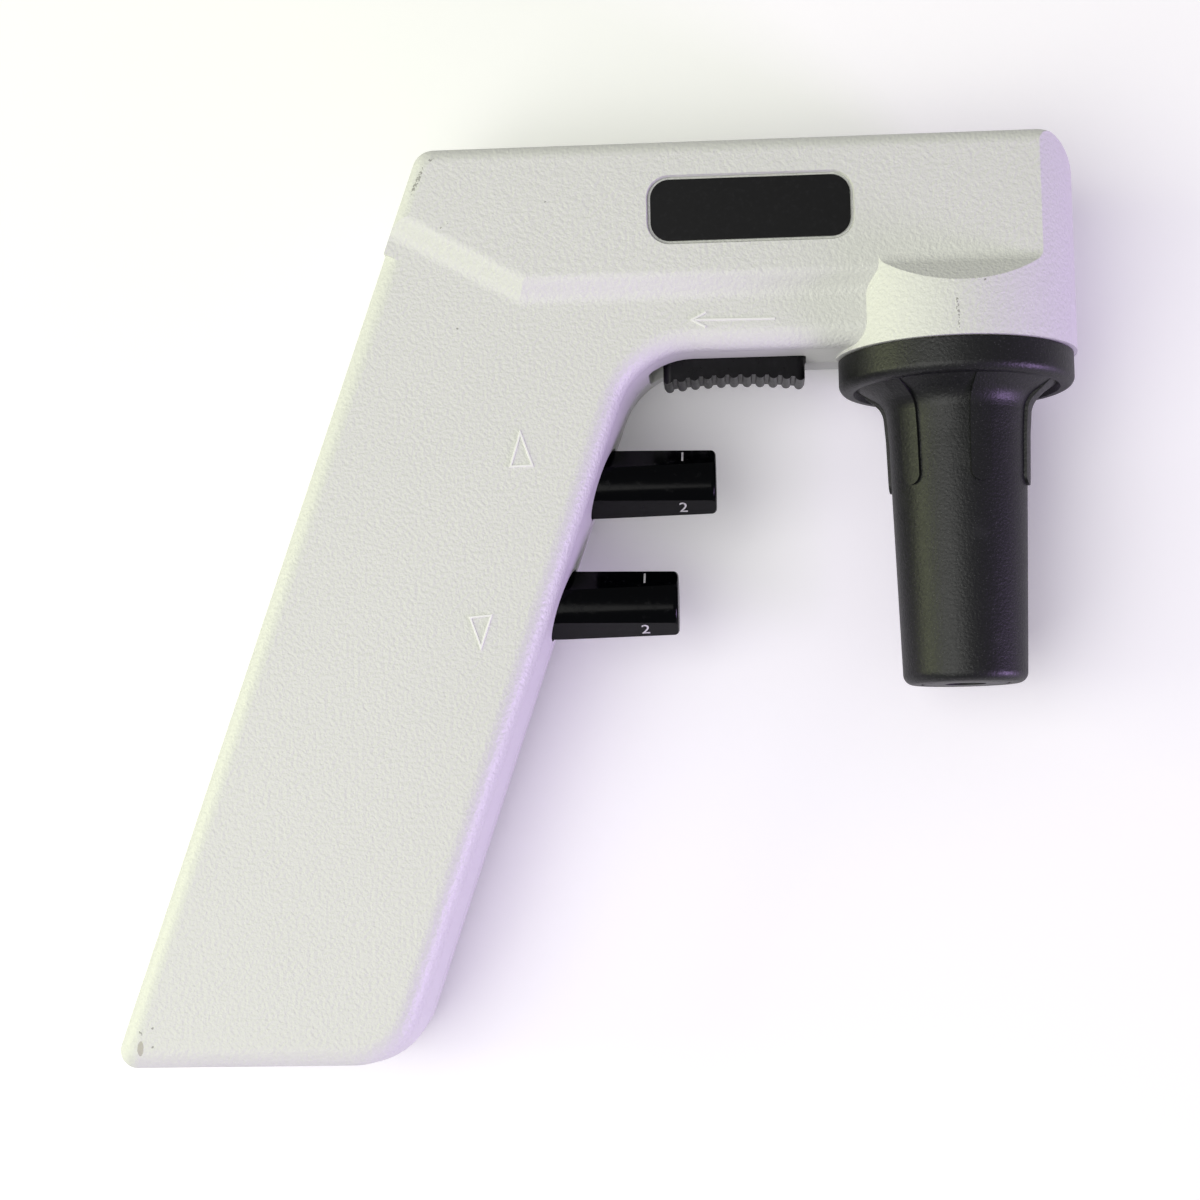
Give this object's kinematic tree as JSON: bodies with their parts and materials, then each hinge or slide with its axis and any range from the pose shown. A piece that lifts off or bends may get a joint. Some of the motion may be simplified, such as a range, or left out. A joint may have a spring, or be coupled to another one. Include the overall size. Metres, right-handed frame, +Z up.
{
  "type": "pipette controller",
  "caption": "Battery pipette pump: pistol-shaped clamshell housing, two turning trigger buttons, a mode slider and a screw-off nose cone that holds a pipette.",
  "frame": {"origin": "centre of the pipette socket's mouth, on the nose axis", "axes": "the pipette leaves along -Y; X runs forward along the barrel; +Z is up as the object lies on its side on a bench"},
  "size_m": [0.1834, 0.1734, 0.0462],
  "materials": {
    "housing_plastic": "fine spark-eroded texture",
    "black_plastic": "satin, fine texture",
    "button_gloss": "glossy",
    "label_black": "satin",
    "silicone": "translucent white silicone",
    "black_rubber": "matte",
    "steel": "plated",
    "brass": "machined",
    "white_plastic": "moulded",
    "membrane": "matte membrane",
    "board_green": "satin",
    "cell_wrap": "shrink film"
  },
  "bodies": {
    "housing": {"air_nozzle": "brass", "aspirate_switch": "black_plastic", "board_parts": "label_black", "cell_strap": "steel", "charge_jack": "black_plastic", "control_board": "board_green", "diaphragm": "black_rubber", "dispense_switch": "black_plastic", "front_cell": "cell_wrap", "housing_screws": "steel", "label_plate": "label_black", "left_shell": "housing_plastic", "motor_can": "steel", "motor_cap": "white_plastic", "nose_seal": "black_rubber", "nose_socket": "black_plastic", "nose_tube": "silicone", "pressure_tube": "silicone", "pump_frame": "white_plastic", "pump_head": "black_plastic", "rear_cell": "cell_wrap", "reed_valves": "black_rubber", "right_shell": "housing_plastic", "suction_tube": "silicone", "valve_block": "white_plastic", "valve_plate": "white_plastic", "vent_valve": "white_plastic"},
    "aspirate_selector_sleeve": {"aspirate_selector": "white_plastic", "aspirate_spring": "steel"},
    "aspirate_trigger": {"aspirate_button": "button_gloss", "aspirate_stem": "brass", "aspirate_stem_seals": "black_rubber"},
    "aspirate_switch_lever": {"aspirate_lever": "steel"},
    "dispense_selector_sleeve": {"dispense_selector": "white_plastic", "dispense_spring": "steel"},
    "dispense_trigger": {"dispense_button": "button_gloss", "dispense_stem": "brass", "dispense_stem_seals": "black_rubber"},
    "dispense_switch_lever": {"dispense_lever": "steel"},
    "mode_switch": {"mode_slider": "black_plastic", "vent_spool": "brass", "spool_seals": "black_rubber"},
    "filter_unit": {"pipette_holder": "silicone", "filter_shell": "white_plastic", "filter_membrane": "membrane"},
    "nose": {"nose_cone": "black_plastic"},
    "motor_rotor": {"motor_shaft": "steel", "crank": "white_plastic"},
    "pump_rod": {"connecting_rod": "white_plastic"}
  },
  "joints": [
    {"name": "aspirate_select", "type": "hinge", "parent": "housing", "child": "aspirate_selector_sleeve", "pos_m": [-0.0464, 0.04, 0], "axis": [1, 0, 0], "range_deg": [-120, 120]},
    {"name": "aspirate_press", "type": "slide", "parent": "aspirate_selector_sleeve", "child": "aspirate_trigger", "axis": [-1, 0, 0], "range_m": [0, 0.0045], "stiffness_N_per_m": 700, "springref_m": -0.002, "deforming": ["aspirate_spring"]},
    {"name": "aspirate_lever_swing", "type": "hinge", "parent": "housing", "child": "aspirate_switch_lever", "pos_m": [-0.10723, 0.0306, 0], "axis": [0, 0, 1], "range_deg": [0, 28]},
    {"name": "dispense_select", "type": "hinge", "parent": "housing", "child": "dispense_selector_sleeve", "pos_m": [-0.0541, 0.01675, 0], "axis": [1, 0, 0], "range_deg": [-120, 120]},
    {"name": "dispense_press", "type": "slide", "parent": "dispense_selector_sleeve", "child": "dispense_trigger", "axis": [-1, 0, 0], "range_m": [0, 0.0045], "stiffness_N_per_m": 700, "springref_m": -0.002, "deforming": ["dispense_spring"]},
    {"name": "dispense_lever_swing", "type": "hinge", "parent": "housing", "child": "dispense_switch_lever", "pos_m": [-0.11493, 0.00735, 0], "axis": [0, 0, 1], "range_deg": [0, 28]},
    {"name": "mode_slide", "type": "slide", "parent": "housing", "child": "mode_switch", "axis": [-1, 0, 0], "range_m": [0, 0.0025]},
    {"name": "nose_turn", "type": "hinge", "parent": "filter_unit", "child": "nose", "pos_m": [0, 0.03, 0], "axis": [0, -1, 0], "range_deg": [0, 720]},
    {"name": "nose_draw", "type": "slide", "parent": "housing", "child": "filter_unit", "axis": [0, -1, 0], "range_m": [0, 0.0081]},
    {"name": "motor_spin", "type": "hinge", "parent": "housing", "child": "motor_rotor", "pos_m": [-0.066, 0.0872, 0], "axis": [1, 0, 0], "continuous": true},
    {"name": "rod_stroke", "type": "slide", "parent": "housing", "child": "pump_rod", "axis": [0, 1, 0], "range_m": [-0.0008, 0.0008], "stiffness_N_per_m": 300, "deforming": ["diaphragm"]}
  ],
  "couplings": [
    {"joint": "aspirate_lever_swing", "follows": "aspirate_press", "rad_per_m": 106.38},
    {"joint": "dispense_lever_swing", "follows": "dispense_press", "rad_per_m": 106.38},
    {"joint": "nose_draw", "follows": "nose_turn", "m_per_rad": 0.00063662}
  ]
}
